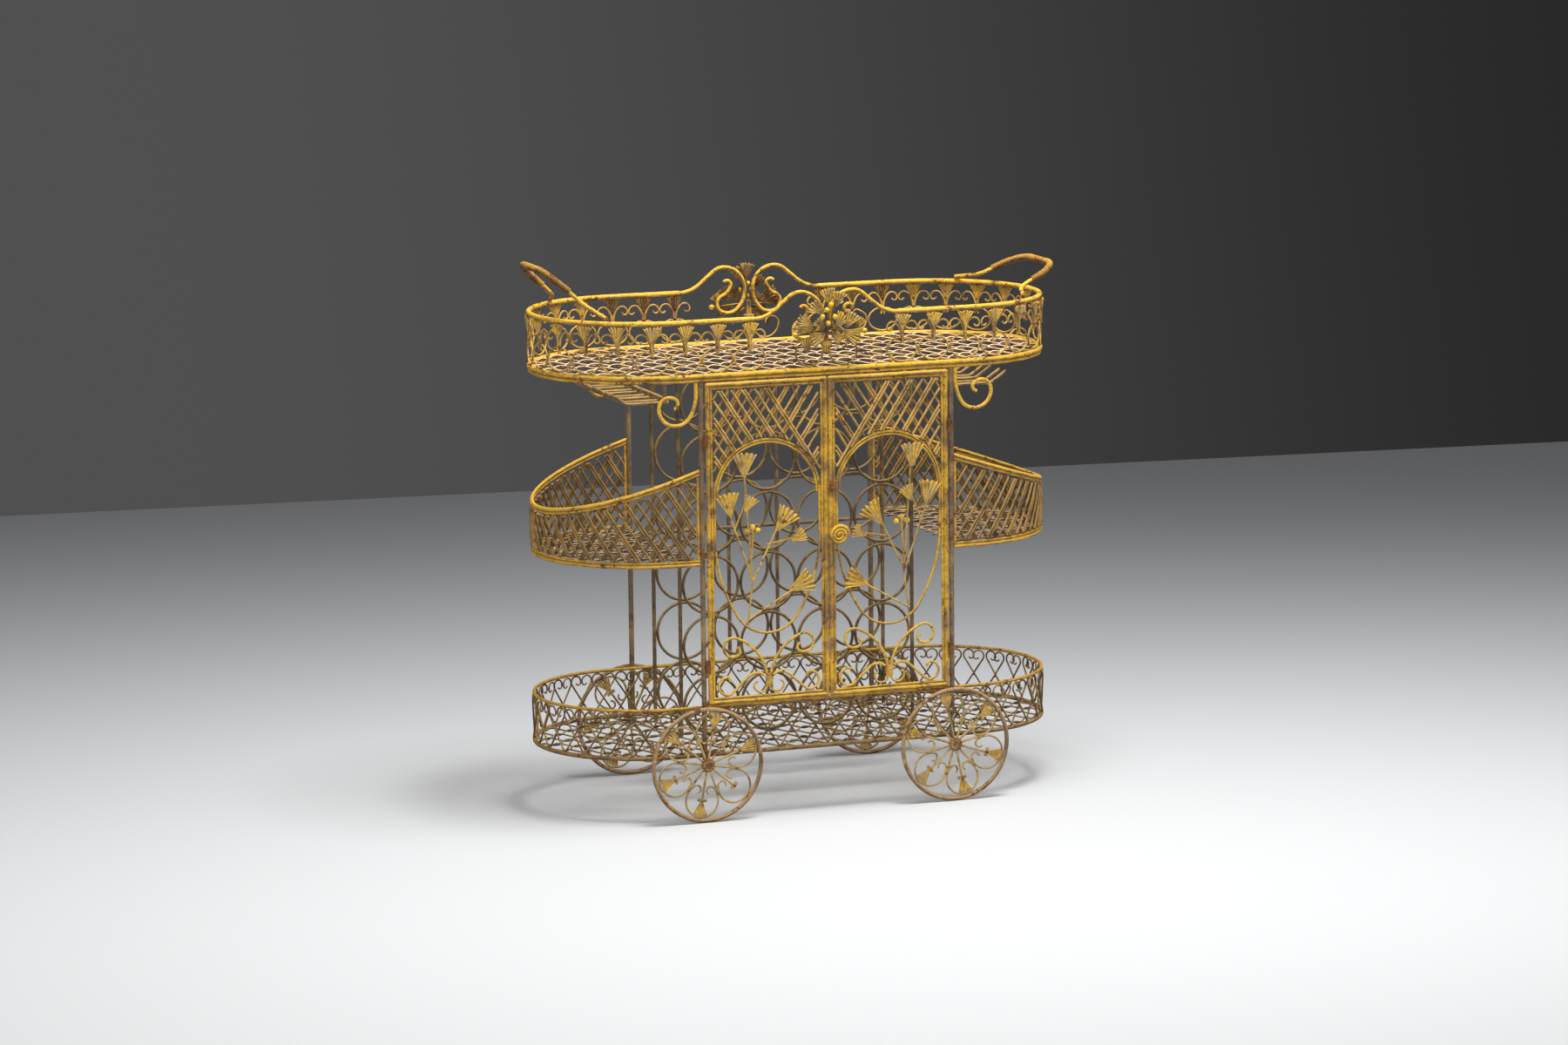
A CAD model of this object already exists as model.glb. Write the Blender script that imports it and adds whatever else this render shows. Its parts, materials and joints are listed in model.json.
import json
import math
import random

import bmesh
import bpy
from mathutils import Matrix, Vector, noise


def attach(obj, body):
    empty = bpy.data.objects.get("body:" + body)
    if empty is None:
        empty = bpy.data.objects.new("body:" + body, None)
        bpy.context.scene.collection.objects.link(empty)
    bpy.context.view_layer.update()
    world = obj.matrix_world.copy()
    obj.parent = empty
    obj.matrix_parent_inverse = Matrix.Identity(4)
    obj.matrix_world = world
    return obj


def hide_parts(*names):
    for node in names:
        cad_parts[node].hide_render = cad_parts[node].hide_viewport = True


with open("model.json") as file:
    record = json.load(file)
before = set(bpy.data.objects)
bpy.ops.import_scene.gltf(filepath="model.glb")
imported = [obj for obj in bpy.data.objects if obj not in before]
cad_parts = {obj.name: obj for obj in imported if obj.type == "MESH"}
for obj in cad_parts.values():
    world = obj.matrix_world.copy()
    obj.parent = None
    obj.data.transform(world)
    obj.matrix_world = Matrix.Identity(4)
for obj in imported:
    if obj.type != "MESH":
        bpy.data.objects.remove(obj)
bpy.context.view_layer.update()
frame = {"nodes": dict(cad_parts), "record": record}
record = frame["record"]

MM = 0.001

# Sizes of the trolley in millimetres and degrees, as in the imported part
POST_X = 204
POST_HALF = 4.8
WELD_GAP = 0.2
WIRE_D = 3
RIM_D = 8

# Top tray: its rounded ends begin at the bend, and its ornaments hang under the gallery rail
TOP_Z = 689
TOP_BEND_X = 236
TRAY_R = 176
RAIL_RISE = 83
NECK_HALF = 124
UNITS = 8
UNIT_PITCH = (TOP_BEND_X + TRAY_R * math.pi / 2 - NECK_HALF) / (UNITS - 0.5)

# Lower tray, with thirteen hearts to each quarter of its edge
LOW_Z = 101.7
LOW_R = 168.3
LOW_BEND_X = 414 - LOW_R
HEARTS = 13
HEART_PITCH = (LOW_BEND_X + LOW_R * math.pi / 2) / HEARTS

BASKET_X = 208.2
BASKET_FLOOR_Z = 405.2
DOOR_Y = -178

# Wheels, each with how far it stands turned in the photograph
WHEEL_R = 90
WHEEL_Y = 188
WHEEL_TURNS = {"front_left": 10, "front_right": -12, "back_left": 25, "back_right": 5}
RAYS = 6
RAY_STEP = 360 / RAYS
LOST_LEAF = 2


def linked(name, data):
    """A new object at the origin, linked to the scene."""
    made = bpy.data.objects.new(name, data)
    bpy.context.scene.collection.objects.link(made)
    return made


# ---------------------------------------------------------------------------------------------
# Colours and materials

RUST = "#6C4629"
PALE_RUST = "#966440"
GRIME = "#866A46"
GRIME_SHARE = 0.65
DIRT = "#3C2C1A"
FOLD_DIRT = "#5A4428"


def linear(hex_colour):
    """An sRGB hex value as linear red, green, blue and alpha."""
    parts = [int(hex_colour[i:i + 2], 16) / 255 for i in (1, 3, 5)]
    return tuple(c / 12.92 if c <= 0.04045 else ((c + 0.055) / 1.055) ** 2.4 for c in parts) + (1,)


def add(tree, kind, settings=(), inputs=()):
    """Adds one node and sets its properties. An input is given a value or another node's output."""
    node = tree.nodes.new(kind)
    for key, value in dict(settings).items():
        setattr(node, key, value)
    for key, value in dict(inputs).items():
        socket = node.inputs[key]
        if hasattr(value, "is_linked"):
            tree.links.new(value, socket)
        else:
            socket.default_value = value
    return node


def per_mm(size):
    """The scale of a pattern whose features are this many millimetres across."""
    return 1000 / size


def worn_paint(name, fresh, faded, *, fresh_share, rust_share, up_share=0.35, rough=0.62,
               patch=42, fleck_share=0.34, ribbed=False):
    """Brushed oil paint on mild steel wire: bright where it has lasted, chalky where it has faded,
    with rust spots that break through, and small dark chips. A ribbed finish is dark in the folds.
    The shares are of the surface, the patches' size is in millimetres."""
    mat = bpy.data.materials.new(name)
    mat.use_nodes = True
    tree = mat.node_tree
    shader = tree.nodes["Principled BSDF"]
    place = add(tree, "ShaderNodeTexCoord")
    where = place.outputs["Object"]
    # Paint lasts best on faces that point up, in patches
    patches = add(tree, "ShaderNodeTexNoise", inputs={
        "Vector": where, "Scale": per_mm(patch), "Detail": 5.0, "Roughness": 0.6})
    facing = add(tree, "ShaderNodeSeparateXYZ", inputs={"Vector": place.outputs["Normal"]})
    lift = add(tree, "ShaderNodeMath", {"operation": "MULTIPLY_ADD"},
               {0: facing.outputs["Z"], 1: up_share, 2: fresh_share - 0.5})
    kept = add(tree, "ShaderNodeMath", {"operation": "ADD"},
               {0: patches.outputs["Fac"], 1: lift.outputs[0]})
    kept_mask = add(tree, "ShaderNodeMapRange", {"interpolation_type": "SMOOTHSTEP"},
                    {"Value": kept.outputs[0], "From Min": 0.40, "From Max": 0.62})
    # The brush left the colour uneven at the width of its bristles
    brushed = add(tree, "ShaderNodeTexNoise", inputs={
        "Vector": where, "Scale": per_mm(5), "Detail": 3.0, "Roughness": 0.55})
    paint = add(tree, "ShaderNodeMix", {"data_type": "RGBA"},
                {"Factor": kept_mask.outputs[0], 6: linear(faded), 7: linear(fresh)})
    shade = add(tree, "ShaderNodeMapRange", inputs={
        "Value": brushed.outputs["Fac"], "From Min": 0.3, "From Max": 0.7,
        "To Min": 0.86, "To Max": 1.08})
    toned = add(tree, "ShaderNodeVectorMath", {"operation": "SCALE"},
                {0: paint.outputs[2], "Scale": shade.outputs[0]})
    # Rust comes through in spots a few millimetres across, gathered in runs
    rust_runs = add(tree, "ShaderNodeTexNoise", inputs={
        "Vector": where, "Scale": per_mm(45), "Detail": 2.0, "Roughness": 0.5})
    rust_spots = add(tree, "ShaderNodeTexNoise", inputs={
        "Vector": where, "Scale": per_mm(7), "Detail": 4.0, "Roughness": 0.65})
    rusty = add(tree, "ShaderNodeMath", {"operation": "MULTIPLY_ADD"},
                {0: rust_runs.outputs["Fac"], 1: 0.8, 2: rust_spots.outputs["Fac"]})
    rust_edge = 1.18 - rust_share * 0.6
    rust_mask = add(tree, "ShaderNodeMapRange", {"interpolation_type": "SMOOTHSTEP"}, {
        "Value": rusty.outputs[0], "From Min": rust_edge - 0.05, "From Max": rust_edge + 0.06})
    rust_tone = add(tree, "ShaderNodeMix", {"data_type": "RGBA"}, {
        "Factor": brushed.outputs["Fac"], 6: linear(RUST), 7: linear(PALE_RUST)})
    coat = add(tree, "ShaderNodeMix", {"data_type": "RGBA"},
               {"Factor": rust_mask.outputs[0], 6: toned.outputs[0], 7: rust_tone.outputs[2]})
    # Brown grime lies in thin washes over everything, most of all on faces that point down
    wash = add(tree, "ShaderNodeTexNoise", inputs={
        "Vector": where, "Scale": per_mm(15), "Detail": 4.0, "Roughness": 0.7})
    sunk = add(tree, "ShaderNodeMath", {"operation": "MULTIPLY_ADD"},
               {0: facing.outputs["Z"], 1: -0.13, 2: wash.outputs["Fac"]})
    wash_mask = add(tree, "ShaderNodeMapRange", {"interpolation_type": "SMOOTHSTEP"}, {
        "Value": sunk.outputs[0], "From Min": 0.46, "From Max": 0.70, "To Max": GRIME_SHARE})
    grimy = add(tree, "ShaderNodeMix", {"data_type": "RGBA", "blend_type": "MULTIPLY"}, {
        "Factor": wash_mask.outputs[0], 6: coat.outputs[2], 7: linear(GRIME)})
    # Chips and dirt of a millimetre or two, drawn a little coarse so that they show
    flecks = add(tree, "ShaderNodeTexNoise", inputs={
        "Vector": where, "Scale": per_mm(2.6), "Detail": 2.0, "Roughness": 0.6})
    fleck_edge = 0.74 - fleck_share * 0.3
    fleck_mask = add(tree, "ShaderNodeMapRange", {"interpolation_type": "SMOOTHSTEP"}, {
        "Value": flecks.outputs["Fac"], "From Min": fleck_edge - 0.03, "From Max": fleck_edge + 0.08,
        "To Max": 0.85})
    final = add(tree, "ShaderNodeMix", {"data_type": "RGBA"},
                {"Factor": fleck_mask.outputs[0], 6: grimy.outputs[2], 7: linear(DIRT)})
    if ribbed:
        fold = add(tree, "ShaderNodeAttribute", {"attribute_name": "fold"})
        final = add(tree, "ShaderNodeMix", {"data_type": "RGBA"},
                    {"Factor": fold.outputs["Fac"], 6: final.outputs[2], 7: linear(FOLD_DIRT)})
    tree.links.new(final.outputs[2], shader.inputs["Base Color"])
    shader.inputs["Specular IOR Level"].default_value = 0.3
    roughness = add(tree, "ShaderNodeMapRange", inputs={
        "Value": rust_mask.outputs[0], "To Min": rough, "To Max": 0.92})
    tree.links.new(roughness.outputs[0], shader.inputs["Roughness"])
    # Brush ridges, chips and scale stand a few tenths of a millimetre proud
    relief = add(tree, "ShaderNodeMath", {"operation": "MULTIPLY_ADD"},
                 {0: fleck_mask.outputs[0], 1: -0.6, 2: brushed.outputs["Fac"]})
    relief_2 = add(tree, "ShaderNodeMath", {"operation": "MULTIPLY_ADD"},
                   {0: rust_spots.outputs["Fac"], 1: 0.8, 2: relief.outputs[0]})
    bump = add(tree, "ShaderNodeBump", inputs={
        "Height": relief_2.outputs[0], "Distance": 0.35 * MM, "Strength": 0.9})
    tree.links.new(bump.outputs[0], shader.inputs["Normal"])
    return mat


# Each slot's fresh colour, faded colour, share that has lasted, share of rust, and lift of upper faces
FINISHES = {
    "posts_primer": dict(fresh="#AE8E58", faded="#84705A", fresh_share=0.44, rust_share=0.20, up_share=0.1),
    "rack_wire": dict(fresh="#9E824C", faded="#6A593E", fresh_share=0.46, rust_share=0.14),
    "lower_rim_paint": dict(fresh="#B08C50", faded="#78644A", fresh_share=0.46, rust_share=0.30),
    "lower_top_rim_paint": dict(fresh="#D4A238", faded="#967848", fresh_share=0.58, rust_share=0.24),
    "lower_floor_weave": dict(fresh="#B89C72", faded="#564232", fresh_share=0.42, rust_share=0.20,
                              up_share=0.3),
    "heart_wire": dict(fresh="#B4945C", faded="#6C583A", fresh_share=0.46, rust_share=0.20),
    "tray_rim_paint": dict(fresh="#F6C23E", faded="#B08A52", fresh_share=0.62, rust_share=0.22, up_share=0.5),
    "tray_floor_weave": dict(fresh="#F4D0A2", faded="#74543C", fresh_share=0.52, rust_share=0.14),
    "gallery_wire": dict(fresh="#E8B850", faded="#B09060", fresh_share=0.52, rust_share=0.18),
    "bouquet_paint": dict(fresh="#DAAE50", faded="#7C6644", fresh_share=0.48, rust_share=0.18, up_share=0.3),
    "handle_paint": dict(fresh="#F2BE3E", faded="#AE864A", fresh_share=0.58, rust_share=0.28, up_share=0.4),
    "grip_strand": dict(fresh="#C4943C", faded="#745630", fresh_share=0.44, rust_share=0.26, up_share=0.4),
    "basket_rail_paint": dict(fresh="#EEBA40", faded="#AE8A52", fresh_share=0.56, rust_share=0.20,
                              up_share=0.45),
    "basket_lattice_wire": dict(fresh="#B89250", faded="#7E6644", fresh_share=0.46, rust_share=0.18),
    "basket_floor_weave": dict(fresh="#C8A880", faded="#5C4634", fresh_share=0.44, rust_share=0.18),
    "prong_wire": dict(fresh="#BE9A58", faded="#8C7654", fresh_share=0.46, rust_share=0.16),
    "corner_scroll_paint": dict(fresh="#F0BE40", faded="#BC9650", fresh_share=0.70, rust_share=0.16),
    "door_frame_paint": dict(fresh="#E8B840", faded="#A07E4C", fresh_share=0.54, rust_share=0.20,
                             up_share=0.5),
    "door_lattice_wire": dict(fresh="#DCB060", faded="#A08252", fresh_share=0.52, rust_share=0.18),
    "door_spray_paint": dict(fresh="#E0B656", faded="#AE9460", fresh_share=0.56, rust_share=0.18),
    "door_scroll_paint": dict(fresh="#ECBE4A", faded="#B89A60", fresh_share=0.56, rust_share=0.18),
    "hinge_iron": dict(fresh="#9C6E3A", faded="#6A543C", fresh_share=0.40, rust_share=0.60),
    "knob_paint": dict(fresh="#F4C242", faded="#C0984C", fresh_share=0.60, rust_share=0.30),
    "catch_iron": dict(fresh="#80562E", faded="#604834", fresh_share=0.40, rust_share=0.80),
    "axle_iron": dict(fresh="#B09470", faded="#80725A", fresh_share=0.40, rust_share=0.36),
    "wheel_rim_rust": dict(fresh="#BC9A6C", faded="#8E7454", fresh_share=0.52, rust_share=0.26, rough=0.78),
    "wheel_spider_paint": dict(fresh="#CEAE6C", faded="#A48E66", fresh_share=0.50, rust_share=0.16),
}
paints = {slot: worn_paint(slot, **look) for slot, look in FINISHES.items()}

# The leaf fronts kept more paint than the wires beside them, and dirt lies in their folds
leaf_paint = worn_paint("leaf_paint", "#F4C448", "#CCAE78", fresh_share=0.52, rust_share=0.16,
                        up_share=0.1, patch=16, ribbed=True)
dark_leaf_paint = worn_paint("dark_leaf_paint", "#BC9044", "#7A6442", fresh_share=0.40, rust_share=0.30,
                             up_share=0.2, patch=14, ribbed=True)
# Berries are the brightest paint on the trolley
berry_paint = worn_paint("berry_paint", "#F8C83C", "#D0AC62", fresh_share=0.70, rust_share=0.12,
                         patch=9, fleck_share=0.25, rough=0.5)
# Weld beads are lumpy, half painted and half rusted
weld_bead = worn_paint("weld_bead", "#B88E40", "#7E6844", fresh_share=0.45, rust_share=0.45,
                       patch=6, rough=0.8)

# Every CAD node takes the finish of its slot
for item in record["subparts"]:
    for held in frame["nodes"][item["node"]].material_slots:
        held.material = paints[item["material_slot"]]


# ---------------------------------------------------------------------------------------------
# Trees of geometry nodes

def tree_with(name, sockets):
    """A new geometry tree with these named inputs, and one geometry output."""
    tree = bpy.data.node_groups.new(name, "GeometryNodeTree")
    tree.interface.new_socket("Geometry", in_out="INPUT", socket_type="NodeSocketGeometry")
    for title, kind in sockets:
        tree.interface.new_socket(title, in_out="INPUT", socket_type=kind)
    tree.interface.new_socket("Geometry", in_out="OUTPUT", socket_type="NodeSocketGeometry")
    return tree, tree.nodes.new("NodeGroupInput"), tree.nodes.new("NodeGroupOutput")


def wire_tree():
    """Draws a round wire along each line of points."""
    tree, given, result = tree_with("drawn_wire", [
        ("Diameter", "NodeSocketFloat"), ("Sides", "NodeSocketInt"), ("Finish", "NodeSocketMaterial")])
    line = add(tree, "GeometryNodeMeshToCurve", inputs={"Mesh": given.outputs["Geometry"]})
    radius = add(tree, "ShaderNodeMath", {"operation": "MULTIPLY"}, {0: given.outputs["Diameter"], 1: 0.5})
    section = add(tree, "GeometryNodeCurvePrimitiveCircle", inputs={
        "Resolution": given.outputs["Sides"], "Radius": radius.outputs[0]})
    drawn = add(tree, "GeometryNodeCurveToMesh", inputs={
        "Curve": line.outputs["Curve"], "Profile Curve": section.outputs["Curve"], "Fill Caps": True})
    smooth = add(tree, "GeometryNodeSetShadeSmooth", inputs={"Geometry": drawn.outputs["Mesh"]})
    real = add(tree, "GeometryNodeRealizeInstances", inputs={"Geometry": smooth.outputs["Geometry"]})
    painted = add(tree, "GeometryNodeSetMaterial", inputs={
        "Geometry": real.outputs["Geometry"], "Material": given.outputs["Finish"]})
    tree.links.new(painted.outputs["Geometry"], result.inputs["Geometry"])
    return tree


def set_tree():
    """Sets a copy of one shape at each point, with the turn and size that the point carries."""
    tree, given, result = tree_with("set_pieces", [
        ("Shape", "NodeSocketObject"), ("Spin", "NodeSocketFloat"), ("Seed", "NodeSocketInt"),
        ("Finish", "NodeSocketMaterial")])
    shape = add(tree, "GeometryNodeObjectInfo", inputs={"Object": given.outputs["Shape"]})
    turn = add(tree, "GeometryNodeInputNamedAttribute", {"data_type": "FLOAT_VECTOR"}, {"Name": "turn"})
    size = add(tree, "GeometryNodeInputNamedAttribute", {"data_type": "FLOAT_VECTOR"}, {"Name": "size"})
    spin = add(tree, "FunctionNodeRandomValue", {"data_type": "FLOAT_VECTOR"},
               {"Seed": given.outputs["Seed"]})
    reach = add(tree, "ShaderNodeVectorMath", {"operation": "SCALE"},
                {0: spin.outputs[0], "Scale": given.outputs["Spin"]})
    whole = add(tree, "ShaderNodeVectorMath", {"operation": "ADD"},
                {0: turn.outputs[0], 1: reach.outputs[0]})
    placed = add(tree, "GeometryNodeInstanceOnPoints", inputs={
        "Points": given.outputs["Geometry"], "Instance": shape.outputs["Geometry"],
        "Rotation": whole.outputs[0], "Scale": size.outputs[0]})
    real = add(tree, "GeometryNodeRealizeInstances", inputs={"Geometry": placed.outputs["Instances"]})
    painted = add(tree, "GeometryNodeSetMaterial", inputs={
        "Geometry": real.outputs["Geometry"], "Material": given.outputs["Finish"]})
    tree.links.new(painted.outputs["Geometry"], result.inputs["Geometry"])
    return tree


drawn_wire = wire_tree()
set_pieces = set_tree()


def grown(name, tree, mesh, settings, body, replaced=()):
    """Runs a tree on a mesh, keeps the result as a plain piece, and hangs it on its body."""
    seed_object = linked(name + "_seed", mesh)
    modifier = seed_object.modifiers.new(name, "NODES")
    modifier.node_group = tree
    for item in tree.interface.items_tree:
        if item.in_out == "INPUT" and item.name in settings:
            modifier[item.identifier] = settings[item.name]
    graph = bpy.context.evaluated_depsgraph_get()
    made = bpy.data.meshes.new_from_object(seed_object.evaluated_get(graph), depsgraph=graph)
    seed_object.modifiers.remove(modifier)
    bpy.data.objects.remove(seed_object)
    piece = linked(name, made)
    made.name = name
    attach(piece, body)
    if replaced:
        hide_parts(*replaced)
    return piece


def lines_mesh(name, lines):
    """Lines of points in millimetres as a mesh of edges in metres."""
    verts, edges = [], []
    for line in lines:
        start = len(verts)
        verts += [tuple(c * MM for c in p) for p in line]
        edges += [(i, i + 1) for i in range(start, len(verts) - 1)]
    mesh = bpy.data.meshes.new(name)
    mesh.from_pydata(verts, edges, [])
    return mesh


def spots_mesh(name, places):
    """Places as a mesh of points in metres. Each place is a matrix in millimetres, whose turn and
    scale the point carries."""
    mesh = bpy.data.meshes.new(name)
    mesh.from_pydata([tuple(m.translation * MM) for m in places], [], [])
    turn = mesh.attributes.new("turn", "FLOAT_VECTOR", "POINT")
    size = mesh.attributes.new("size", "FLOAT_VECTOR", "POINT")
    for i, m in enumerate(places):
        _, rotation, scale = m.decompose()
        turn.data[i].vector = rotation.to_euler("XYZ")
        size.data[i].vector = scale
    return mesh


# Matrices that turn about an axis, move in millimetres, and size along X, Y and Z

def turned(axis, degrees):
    return Matrix.Rotation(math.radians(degrees), 4, axis)


def moved(x, y, z):
    return Matrix.Translation((x, y, z))


def sized(x, y, z):
    return Matrix.Diagonal((x, y, z, 1))


def on_edge(run, bend_x, r):
    """A place on a tray's edge at a run from the middle of its front, turned along the edge."""
    side, run = (-1 if run < 0 else 1), abs(run)
    arc = r * math.pi
    angle = 0 if run <= bend_x else 180 if run >= bend_x + arc else math.degrees((run - bend_x) / r)
    if run <= bend_x:
        x = run
    elif run >= bend_x + arc:
        x = 2 * bend_x + arc - run
    else:
        x = bend_x + r * math.sin(math.radians(angle))
    return moved(side * x, -r * math.cos(math.radians(angle)), 0) @ turned("Z", side * angle)


# ---------------------------------------------------------------------------------------------
# Woven floors: wavy wires along X that pass over and under their neighbours

WEAVE_D = 2.7
WEAVE_WAVE = 54
WEAVE_LIFT = 1.3
WEAVE_STEP = 3.4
WEAVE_DRIFT = 1.6
EDGE_EASE = 14
EDGE_MARGIN = 3
TRAY_WEAVE_PITCH = 23
BASKET_WEAVE_PITCH = 14


def weave(name, bend_x, r, z, x_from, slot, replaced, seed, pitch):
    """Wavy wires that hook over and under their neighbours and leave lens-shaped gaps. They run
    from x_from, or from one rounded end to the other, and lie straight near the rim."""
    rng = random.Random(seed)
    lines = []
    rows = int(r / pitch + 0.5)
    for row in range(-rows, rows + 1):
        y = (row + 0.25) * pitch
        if abs(y) > r - EDGE_MARGIN:
            continue
        x_to = bend_x + math.sqrt(r * r - y * y) + 1
        start = -x_to if x_from is None else x_from
        phase = math.pi * (row % 2) + rng.uniform(-0.25, 0.25)
        swing = pitch * rng.uniform(0.46, 0.54)
        count = max(6, int((x_to - start) / WEAVE_STEP))
        line = []
        for i in range(count + 1):
            x = start + (x_to - start) * i / count
            late = 0.8 * noise.noise((x / 110, y / 70, seed))
            wave = math.sin(2 * math.pi * x / WEAVE_WAVE + phase + late)
            near = max(0, min(1, (x_to - (abs(x) if x_from is None else x)) / EDGE_EASE))
            reach = math.sqrt(max(0, r * r - max(0, abs(x) - bend_x) ** 2))
            strand_y = y + swing * wave * near + WEAVE_DRIFT * noise.noise((x / 23, y, seed))
            line.append((x, max(-reach, min(reach, strand_y)), z + WEAVE_LIFT * wave * near))
        lines.append(line)
    return grown(name, drawn_wire, lines_mesh(name, lines), {
        "Diameter": WEAVE_D * MM, "Sides": 8, "Finish": paints[slot]}, "frame", replaced)


weave("top_woven_floor", TOP_BEND_X, TRAY_R - 4, TOP_Z, None, "tray_floor_weave",
      ["top_tray_floor"], 3, TRAY_WEAVE_PITCH)
weave("lower_woven_floor", LOW_BEND_X, LOW_R - 3.5, LOW_Z, None, "lower_floor_weave",
      ["lower_tray_floor"], 5, TRAY_WEAVE_PITCH)
right_weave = weave("right_basket_woven_floor", TOP_BEND_X, TRAY_R - 2, BASKET_FLOOR_Z, BASKET_X,
                    "basket_floor_weave", ["right_basket_floor"], 7, BASKET_WEAVE_PITCH)
# The left basket's floor is the right one's mirror image
left_mesh = right_weave.data.copy()
left_mesh.transform(sized(-1, 1, 1))
left_mesh.flip_normals()
left_weave = linked("left_basket_woven_floor", left_mesh)
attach(left_weave, "frame")
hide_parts("left_basket_floor")


# ---------------------------------------------------------------------------------------------
# Handle grips: one strand wound closely round the bent part of each handle

HANDLE_HALF = 140
HANDLE_BEND = 50
HANDLE_D = 7
FOOT_RUN = 40
FOOT_LIFT = math.radians(20)
FOOT_BEND = 30
LEG_HALF = HANDLE_HALF - FOOT_RUN * math.cos(FOOT_LIFT) - FOOT_BEND * (1 - math.sin(FOOT_LIFT))
LEG_FOOT = FOOT_RUN * math.sin(FOOT_LIFT) + FOOT_BEND * math.cos(FOOT_LIFT)
FOOT_X = TOP_BEND_X + math.sqrt(TRAY_R ** 2 - HANDLE_HALF ** 2)
TOP_RUN = 2 * (LEG_HALF - HANDLE_BEND)
CORNER_RUN = HANDLE_BEND * math.pi / 2
# Each handle leans out by its own angle and reaches its own way from the rail
HANDLES = {"left": (-1, 42, 100), "right": (1, 24, 94)}
SET_IN = 3
SHORT_REACH = 94
GRIP_LENGTH = 2 * (SHORT_REACH - LEG_FOOT - HANDLE_BEND + CORNER_RUN - 1) + TOP_RUN
GRIP_START = 1.3
GRIP_PITCH = 2.7
STRAND_D = 2.6
STRAND_SINK = 0.45
LOOP_STEPS = 12


def loop_point(s, reach):
    """A point of the handle's middle line at a run s above the foot bend, with its heading, in its plane."""
    leg = reach - LEG_FOOT - HANDLE_BEND
    corner_1, top, corner_2 = leg, leg + CORNER_RUN, leg + CORNER_RUN + TOP_RUN
    if s < corner_1:
        return (-LEG_HALF, LEG_FOOT + s, math.pi / 2)
    if s < top:
        a = (s - corner_1) / HANDLE_BEND
        return (-LEG_HALF + HANDLE_BEND * (1 - math.cos(a)), reach - HANDLE_BEND * (1 - math.sin(a)),
                math.pi / 2 - a)
    if s < corner_2:
        return (-LEG_HALF + HANDLE_BEND + s - top, reach, 0.0)
    a = (s - corner_2) / HANDLE_BEND
    if a < math.pi / 2:
        return (LEG_HALF - HANDLE_BEND + HANDLE_BEND * math.sin(a),
                reach - HANDLE_BEND * (1 - math.cos(a)), -a)
    return (LEG_HALF, reach - HANDLE_BEND - (s - corner_2 - CORNER_RUN), -math.pi / 2)


for name, (side, lean, reach) in HANDLES.items():
    rail_top = TOP_Z + RAIL_RISE + RIM_D / 2 + HANDLE_D / 2
    place = sized(side, 1, 1) @ moved(FOOT_X - SET_IN, 0, rail_top) @ turned("Y", -lean) @ turned("Z", -90)
    line = []
    for i in range(int(GRIP_LENGTH / GRIP_PITCH) * LOOP_STEPS + 1):
        a = 2 * math.pi * i / LOOP_STEPS
        wobble = noise.noise((i * 0.11, side * 3.1, 0.5))
        x, y, heading = loop_point(GRIP_START + GRIP_PITCH * i / LOOP_STEPS + 0.25 * wobble, reach)
        r = HANDLE_D / 2 + STRAND_D / 2 - STRAND_SINK + 0.12 * wobble
        line.append(place @ Vector((x + math.sin(heading) * r * math.cos(a),
                                    y - math.cos(heading) * r * math.cos(a), r * math.sin(a))))
    grown(name + "_grip_strand", drawn_wire, lines_mesh(name, [line]), {
        "Diameter": STRAND_D * MM, "Sides": 7, "Finish": paints["grip_strand"]}, "frame",
        [name + "_grip_winding"])


# ---------------------------------------------------------------------------------------------
# Fan leaves: pressed sheet with ribs that run from the stalk, a notched edge and a slight cup

FACES_ACROSS, FACES_UP = 36, 7
PLEATS = 5
SPREAD = math.radians(100)
# Depths as shares of the leaf's height: the ribs, and the lobes and the notch of its edge
RIB_DEPTH = 0.034
LOBE_MID, LOBE_DEPTH = 0.955, 0.045
NOTCH_DEPTH, NOTCH_WIDTH = 0.05, 0.07


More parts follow.
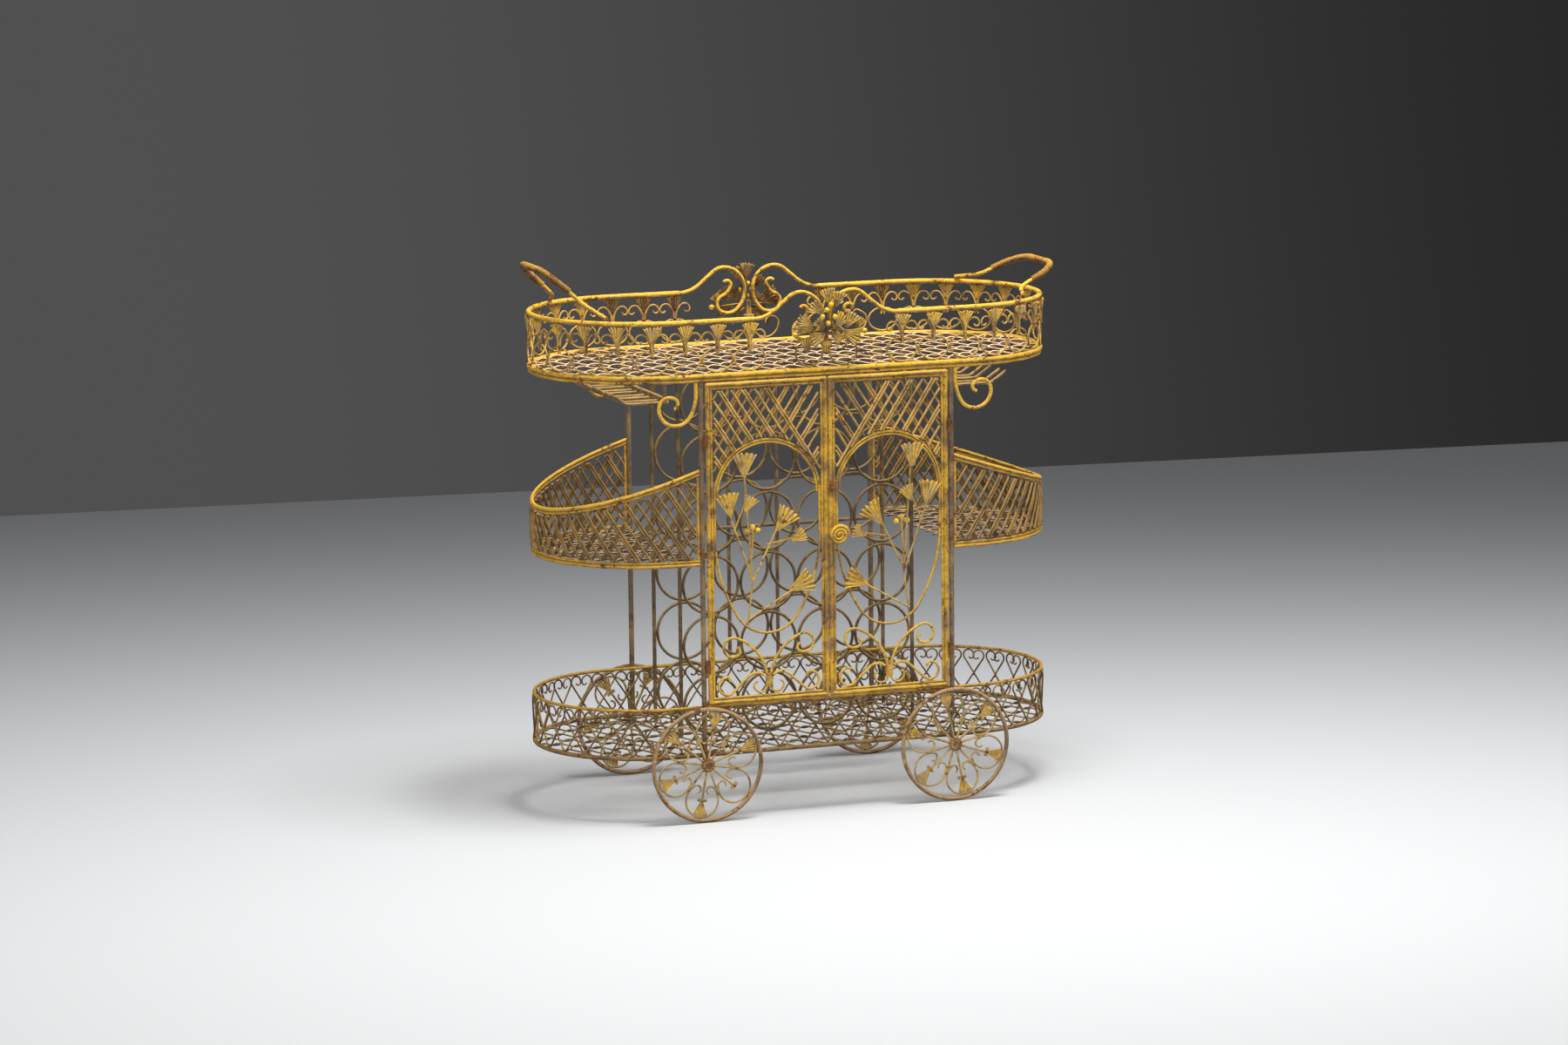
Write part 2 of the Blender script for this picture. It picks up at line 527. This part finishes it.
def leaf_shape(name, thick, cup, finish):
    """One leaf, one millimetre wide and high, standing in X and Z with its stalk end at the origin.
    Its fold attribute says how much dirt lies at each point, most of it in the valleys."""
    across, up = FACES_ACROSS, FACES_UP
    front, back, folds = [], [], []
    for j in range(up + 1):
        v = j / up
        for i in range(across + 1):
            u = 2 * i / across - 1
            a = u * SPREAD / 2
            crest = -math.cos(PLEATS * math.pi * u)
            lobes = LOBE_MID + LOBE_DEPTH * crest - NOTCH_DEPTH * math.exp(-(u / NOTCH_WIDTH) ** 2)
            width = 0.13 + 0.87 * v ** 1.15
            edge = 1 + (lobes - 1) * v ** 3
            x = math.sin(a) / math.sin(SPREAD / 2) * 0.515 * width * edge
            z = v * (0.75 + 0.25 * math.cos(a)) * edge
            rib = RIB_DEPTH * crest * min(1, v * 2) * (1 - 0.4 * abs(u))
            lean = -cup * (u * u * v + 0.5 * v * v) + cup * 0.35
            front.append((x, lean - thick / 2 - rib, z))
            back.append((x, lean + thick / 2 - rib, z))
            folds.append(max(0.0, -crest) ** 3 * (0.2 + 0.4 * v) + 0.25 * v ** 14)
    row = across + 1
    faces = []
    base = len(front)
    for j in range(up):
        for i in range(across):
            a, b = j * row + i, j * row + i + 1
            c, d = b + row, a + row
            faces.append((a, b, c, d))
            faces.append((base + a, base + d, base + c, base + b))
    rim = ([j * row for j in range(up, 0, -1)] + list(range(row))
           + [j * row + across for j in range(1, up + 1)] + [up * row + i for i in range(across - 1, 0, -1)])
    for k in range(len(rim)):
        a, b = rim[k], rim[(k + 1) % len(rim)]
        faces.append((b, a, base + a, base + b))
    mesh = bpy.data.meshes.new(name)
    mesh.from_pydata(front + back, [], faces)
    mesh.polygons.foreach_set("use_smooth", [True] * len(mesh.polygons))
    fold = mesh.attributes.new("fold", "FLOAT", "POINT")
    fold.data.foreach_set("value", folds + folds)
    mesh.transform(Matrix.Scale(MM, 4))
    mesh.materials.append(finish)
    return linked(name, mesh)


def pressed(name, places, body, finish, thick, cup=0.05):
    """A set of leaves on one body. Each place puts a leaf of one millimetre; its scale sizes it."""
    shape = leaf_shape(name + "_shape", thick, cup, finish)
    grown(name, set_pieces, spots_mesh(name, places), {
        "Shape": shape, "Spin": 0.0, "Seed": 1, "Finish": finish}, body)
    bpy.data.objects.remove(shape)


def ornament_place(i, side, back):
    """Where a gallery ornament stands: its number from the middle, left or right, front or back."""
    return (moved(0, 0, TOP_Z) @ turned("Z", 180 * back)
            @ on_edge(side * (NECK_HALF + i * UNIT_PITCH), TOP_BEND_X, TRAY_R))


ornaments = {"front": [(i, s, 0) for i in range(3) for s in (-1, 1)],
             "back": [(i, s, 1) for i in range(3) for s in (-1, 1)],
             "left_end": [(i, -1 if b == 0 else 1, b) for i in range(3, UNITS) for b in (0, 1)],
             "right_end": [(i, 1 if b == 0 else -1, b) for i in range(3, UNITS) for b in (0, 1)]}
GALLERY_TOP = RAIL_RISE - RIM_D / 2 - WELD_GAP
GALLERY_LEAF_W, GALLERY_LEAF_H = 25.5, 23.4
LEAF_Y = -(WIRE_D + 2) / 2 - WELD_GAP
for part, units in ornaments.items():
    pressed("gallery_leaves_" + part, [
        ornament_place(*unit) @ moved(0, LEAF_Y, GALLERY_TOP - GALLERY_LEAF_H)
        @ sized(GALLERY_LEAF_W, GALLERY_LEAF_W, GALLERY_LEAF_H) for unit in units],
        "frame", leaf_paint if part != "back" else dark_leaf_paint, thick=0.105)

# The bouquets on the necks of the rail, in front of stalks of their own
NECK_D = 6.5
NECK_FACE = -NECK_D / 2 - WELD_GAP
STALK_D = 2.4
LEAF_BROAD = 1.03
LEAF_SEAT = 0.8
BOUQUET_STEP = 1.8
# Each leaf's stalk end in X and Z, its turn, its height, and its layer counted from the stalks
BOUQUET_LEAVES = [
    ((3, 100), -10, 25, 0), ((13, 96), 14, 24, 1), ((-9, 87), -52, 24, 2), ((-26, 70), -60, 21, 2),
    ((-22, 62), -72, 32, 0), ((-5, 56), -117, 25, 1), ((-6, 64), -44, 19, 1), ((12, 64), 38, 25, 1),
    ((29, 64), 30, 25, 2), ((46, 62), 34, 18, 0), ((24, 58), 112, 28, 2), ((8, 58), 135, 22, 0)]
for part, face, finish in (("front", 0, leaf_paint), ("back", 180, dark_leaf_paint)):
    stand = turned("Z", face) @ moved(0, -TRAY_R, TOP_Z)
    first = NECK_FACE - STALK_D - WELD_GAP - LEAF_SEAT
    places = [stand @ moved(x, first - layer * BOUQUET_STEP, z) @ turned("Y", turn)
              @ sized(h * LEAF_BROAD, h, h * LEAF_BROAD) for (x, z), turn, h, layer in BOUQUET_LEAVES]
    # One leaf by itself, low on the left neck
    places.append(stand @ moved(-32, NECK_FACE - LEAF_SEAT, 27) @ turned("Y", -6) @ sized(24.7, 24, 24.7))
    pressed("bouquet_leaves_" + part, places, "frame", finish, thick=0.085, cup=0.07)

# The doors' sprays: the same list, in X from the middle of a door and in Z from the floor
SPRAY_LEAVES = [
    ((38, 531), 0, 37, 0), ((61, 472), 10, 36, 0), ((37, 478), -26, 25, 0),
    ((-14, 446), -36, 38, 0), ((-36, 352), -66, 38, 0), ((-38, 428), -62, 24, 0)]
SPRAY_STEP = 3.2
STILE_OUT, STILE_IN = POST_X - POST_HALF - 5, 0.5 + 3.5
DOOR_MID = (STILE_OUT + STILE_IN) / 2
doors = {"left_door": -1, "right_door": 1}
for body, side in doors.items():
    places = [moved(side * (DOOR_MID + x), DOOR_Y - (layer + 1) * SPRAY_STEP, z) @ turned("Y", side * turn)
              @ sized(h * LEAF_BROAD, h, h * LEAF_BROAD) for (x, z), turn, h, layer in SPRAY_LEAVES]
    pressed(body + "_leaves", places, body, leaf_paint, thick=0.085, cup=0.06)


def ball(name, finish, detail, lumps=0.0):
    """A ball two millimetres across, smooth or lumpy."""
    mesh = bpy.data.meshes.new(name)
    form = bmesh.new()
    bmesh.ops.create_icosphere(form, subdivisions=detail, radius=1)
    for v in form.verts:
        v.co *= 1 + lumps * noise.noise(v.co * 1.7)
    form.to_mesh(mesh)
    form.free()
    mesh.polygons.foreach_set("use_smooth", [True] * len(mesh.polygons))
    mesh.transform(Matrix.Scale(MM, 4))
    mesh.materials.append(finish)
    return linked(name, mesh)


def berries(name, spots, r, body):
    """Painted balls, each a little over the berry that it covers."""
    shape = ball(name + "_shape", berry_paint, detail=3)
    grown(name, set_pieces, spots_mesh(name, [moved(*spot) @ sized(r, r, r) for spot in spots]), {
        "Shape": shape, "Spin": 0.0, "Seed": 1, "Finish": berry_paint}, body)
    bpy.data.objects.remove(shape)


# Berries sit on the stalks in the bouquets' middle, on the necks beside it, and behind the sprays
BERRY_R, COVER_R, SPRAY_COVER_R = 4, 4.2, 4.4
BOUQUET_BERRIES = [(4.7, 100), (-2, 92), (-9.5, 82), (10.8, 81), (-0.5, 71.6)]
SIDE_BERRIES = [(-54, 57), (60, 57)]
SPRAY_BERRIES = [(23, 452), (32, 446), (14, 446)]
for part, way in (("front", 1), ("back", -1)):
    near = TRAY_R - NECK_FACE
    spots = [(x, -(near + STALK_D + WELD_GAP + BERRY_R), z) for x, z in BOUQUET_BERRIES]
    spots += [(x, -(near + BERRY_R), z) for x, z in SIDE_BERRIES]
    berries("bouquet_berries_" + part, [(way * x, way * y, TOP_Z + z) for x, y, z in spots], COVER_R,
            "frame")
for body, side in doors.items():
    berries(body + "_berries", [(side * (DOOR_MID + x), DOOR_Y + SPRAY_STEP, z) for x, z in SPRAY_BERRIES],
            SPRAY_COVER_R, body)

# Each wheel has six heart loops, which reach to its rim, and a leaf in each
RIM_THICK = 6.5
LOOP_REACH = WHEEL_R - RIM_THICK - WELD_GAP
RING_OUT = (LOOP_REACH * 0.5 - WELD_GAP / 2) / 1.5
LOOP_MID = LOOP_REACH - RING_OUT
LOOP_R = RING_OUT - 1.6
WHEEL_LEAF = (21.6, 23, LOOP_R - 3.1)
wheels = {"front_left": (-1, -1), "front_right": (1, -1), "back_left": (-1, 1), "back_right": (1, 1)}


def wheel_rays(part):
    """A wheel's six rays, each turned so that its Z runs from the hub to the rim."""
    side, back = wheels[part]
    hub = moved(side * POST_X, back * WHEEL_Y, WHEEL_R)
    return [hub @ turned("Y", i * RAY_STEP + WHEEL_TURNS[part]) for i in range(RAYS)]


for part in wheels:
    places = [ray @ moved(0, 0, LOOP_MID + 1) @ sized(*WHEEL_LEAF)
              for i, ray in enumerate(wheel_rays(part)) if part != "front_left" or i != LOST_LEAF]
    pressed(part + "_wheel_leaves", places, part + "_wheel", leaf_paint,
            thick=0.13, cup=0.03)


# ---------------------------------------------------------------------------------------------
# Weld beads: small lumps where wires were joined, each with its place on a unit and its half sizes

FULL_TURN = 6.28
ORNAMENT_WELDS = [
    ((0, -0.3, 43.2), (3.4, 2.6, 3.8)),
    ((0, -0.3, 40.2), (2.9, 2.4, 2.6)),
    ((0, 0, 4.6), (2.6, 2.0, 1.6)),
    ((UNIT_PITCH / 2, 0, 25.5), (1.5, 1.7, 2.4)),
    ((0, LEAF_Y, GALLERY_TOP - 1), (3.4, 1.8, 1.5))]
HEART_WELDS = [
    ((HEART_PITCH / 2, 0, 5), (2.2, 1.8, 1.6)),
    ((0, 0, 30), (1.7, 2.0, 1.7)),
    ((HEART_PITCH * 0.25, 0, 70.6), (1.9, 1.8, 1.5))]
bead = ball("bead", weld_bead, detail=2, lumps=0.22)


def welds(units, table):
    """Every bead of a table, on every unit."""
    return [unit @ moved(*at) @ sized(*half) for unit in units for at, half in table]


def beads(name, places, body, seed):
    """Lumps on one body, each turned its own way."""
    grown(name, set_pieces, spots_mesh(name, places), {
        "Shape": bead, "Spin": FULL_TURN, "Seed": seed, "Finish": weld_bead}, body)


beads("gallery_weld_beads", welds([ornament_place(*unit) for units in ornaments.values() for unit in units],
                                  ORNAMENT_WELDS), "frame", 2)

hearts = [moved(0, 0, LOW_Z) @ turned("Z", 180 * back)
          @ on_edge(side * (i + 0.5) * HEART_PITCH, LOW_BEND_X, LOW_R)
          for i in range(HEARTS) for side in (-1, 1) for back in (0, 1)]
beads("lower_tray_weld_beads", welds(hearts, HEART_WELDS), "frame", 3)

for part, (_, back) in wheels.items():
    spots = []
    for ray in wheel_rays(part):
        between = ray @ turned("Y", RAY_STEP / 2)
        spots.append(ray @ moved(0, back * 1.2, LOOP_MID) @ sized(3.2, 2.6, 3.0))
        spots.append(ray @ moved(0, 0, LOOP_REACH + 0.4) @ sized(2.8, 2.0, 1.5))
        spots.append(between @ moved(0, 0, LOOP_MID * 0.866) @ sized(2.6, 2.2, 2.6))
        spots += [line @ moved(0, back * 3.2, 8.6) @ sized(2.3, 2.2, 2.6) for line in (ray, between)]
    beads(part + "_wheel_weld_beads", spots, part + "_wheel", 4)
bpy.data.objects.remove(bead)


# ---------------------------------------------------------------------------------------------
# Floor, light and camera

FLOOR_NEAR, FLOOR_FAR = "#ECEDEE", "#8B8C8F"
WALL_LEFT, WALL_RIGHT = "#505050", "#282727"
# The floor's corners in metres: its far edge runs where the photograph's wall begins
FLOOR_CORNERS = [(-30, 6.38, 0), (30, -0.31, 0), (30, -30, 0), (-30, -30, 0)]
CAMERA_AT = (-2.75541, -7.59192, 1.77854)
CAMERA_YAW, CAMERA_PITCH, CAMERA_ROLL = 0.3472529, 0.1661545, -0.0099291
# Each lamp's place in metres, its width and its power
LAMPS = {"overhead_lamp": ((0.3, -0.5, 3.1), 1.2, 96),
         "front_lamp": ((-2.6, -3.4, 1.9), 1.6, 34),
         "side_lamp": ((3.0, -1.4, 2.0), 1.6, 9)}
LAMP_AIM = (0, 0, 0.4)


def floor_piece():
    """A pale matt floor that darkens away from the camera."""
    mesh = bpy.data.meshes.new("studio_floor")
    mesh.from_pydata(FLOOR_CORNERS, [], [(3, 2, 1, 0)])
    piece = linked("studio_floor", mesh)
    mat = bpy.data.materials.new("matt_floor")
    mat.use_nodes = True
    tree = mat.node_tree
    shader = tree.nodes["Principled BSDF"]
    where = add(tree, "ShaderNodeTexCoord")
    depth = add(tree, "ShaderNodeVectorMath", {"operation": "DOT_PRODUCT"},
                {0: where.outputs["Object"], 1: (0.34, 0.94, 0)})
    fade = add(tree, "ShaderNodeMapRange", {"interpolation_type": "SMOOTHSTEP"},
               {"Value": depth.outputs["Value"], "From Min": -1.2, "From Max": 3.2})
    tone = add(tree, "ShaderNodeMix", {"data_type": "RGBA"},
               {"Factor": fade.outputs[0], 6: linear(FLOOR_NEAR), 7: linear(FLOOR_FAR)})
    tree.links.new(tone.outputs[2], shader.inputs["Base Color"])
    shader.inputs["Roughness"].default_value = 0.9
    shader.inputs["Specular IOR Level"].default_value = 0.1
    mesh.materials.append(mat)


def studio_world():
    """Soft white light from all round; the camera sees a plain grey wall."""
    world = bpy.data.worlds.new("studio")
    bpy.context.scene.world = world
    world.use_nodes = True
    tree = world.node_tree
    out = tree.nodes["World Output"]
    glow = tree.nodes["Background"]
    glow.inputs["Color"].default_value = (1, 1, 1, 1)
    glow.inputs["Strength"].default_value = 0.20
    # The wall darkens from left to right and a little towards the floor
    place = add(tree, "ShaderNodeTexCoord")
    across = add(tree, "ShaderNodeVectorMath", {"operation": "DOT_PRODUCT"},
                 {0: place.outputs["Generated"], 1: (0.94, -0.34, 0.12)})
    share = add(tree, "ShaderNodeMapRange", {"interpolation_type": "SMOOTHSTEP"},
                {"Value": across.outputs["Value"], "From Min": -0.14, "From Max": 0.17})
    tone = add(tree, "ShaderNodeMix", {"data_type": "RGBA"},
               {"Factor": share.outputs[0], 6: linear(WALL_LEFT), 7: linear(WALL_RIGHT)})
    wall = add(tree, "ShaderNodeBackground", inputs={"Color": tone.outputs[2], "Strength": 1.0})
    path = add(tree, "ShaderNodeLightPath")
    seen = add(tree, "ShaderNodeMath", {"operation": "MAXIMUM"},
               {0: path.outputs["Is Camera Ray"], 1: path.outputs["Is Transmission Ray"]})
    mix = add(tree, "ShaderNodeMixShader", inputs={
        0: seen.outputs[0], 1: glow.outputs[0], 2: wall.outputs[0]})
    tree.links.new(mix.outputs[0], out.inputs["Surface"])


def lamp(name, at, size, power):
    """A round soft lamp that points at the middle of the trolley."""
    data = bpy.data.lights.new(name, "AREA")
    data.shape = "DISK"
    data.size = size
    data.energy = power
    piece = linked(name, data)
    piece.location = at
    piece.rotation_euler = (Vector(LAMP_AIM) - Vector(at)).to_track_quat("-Z", "Y").to_euler()


def camera():
    """The photograph's camera: its place, the way it looks and its 120 mm lens on a 36 mm sensor."""
    yaw, pitch, roll = CAMERA_YAW, CAMERA_PITCH, CAMERA_ROLL
    ahead = Vector((math.sin(yaw) * math.cos(pitch), math.cos(yaw) * math.cos(pitch), -math.sin(pitch)))
    right = Vector((math.cos(yaw), -math.sin(yaw), 0))
    up = right.cross(ahead)
    right_2 = math.cos(roll) * right + math.sin(roll) * up
    up_2 = -math.sin(roll) * right + math.cos(roll) * up
    data = bpy.data.cameras.new("photo_camera")
    data.sensor_width = 36
    data.lens = 120
    piece = linked("photo_camera", data)
    turn = Matrix((right_2, up_2, -ahead)).transposed()
    piece.matrix_world = moved(*CAMERA_AT) @ turn.to_4x4()
    bpy.context.scene.camera = piece


floor_piece()
studio_world()
for name, (at, size, power) in LAMPS.items():
    lamp(name, at, size, power)
camera()
bpy.context.scene.view_settings.view_transform = "Standard"
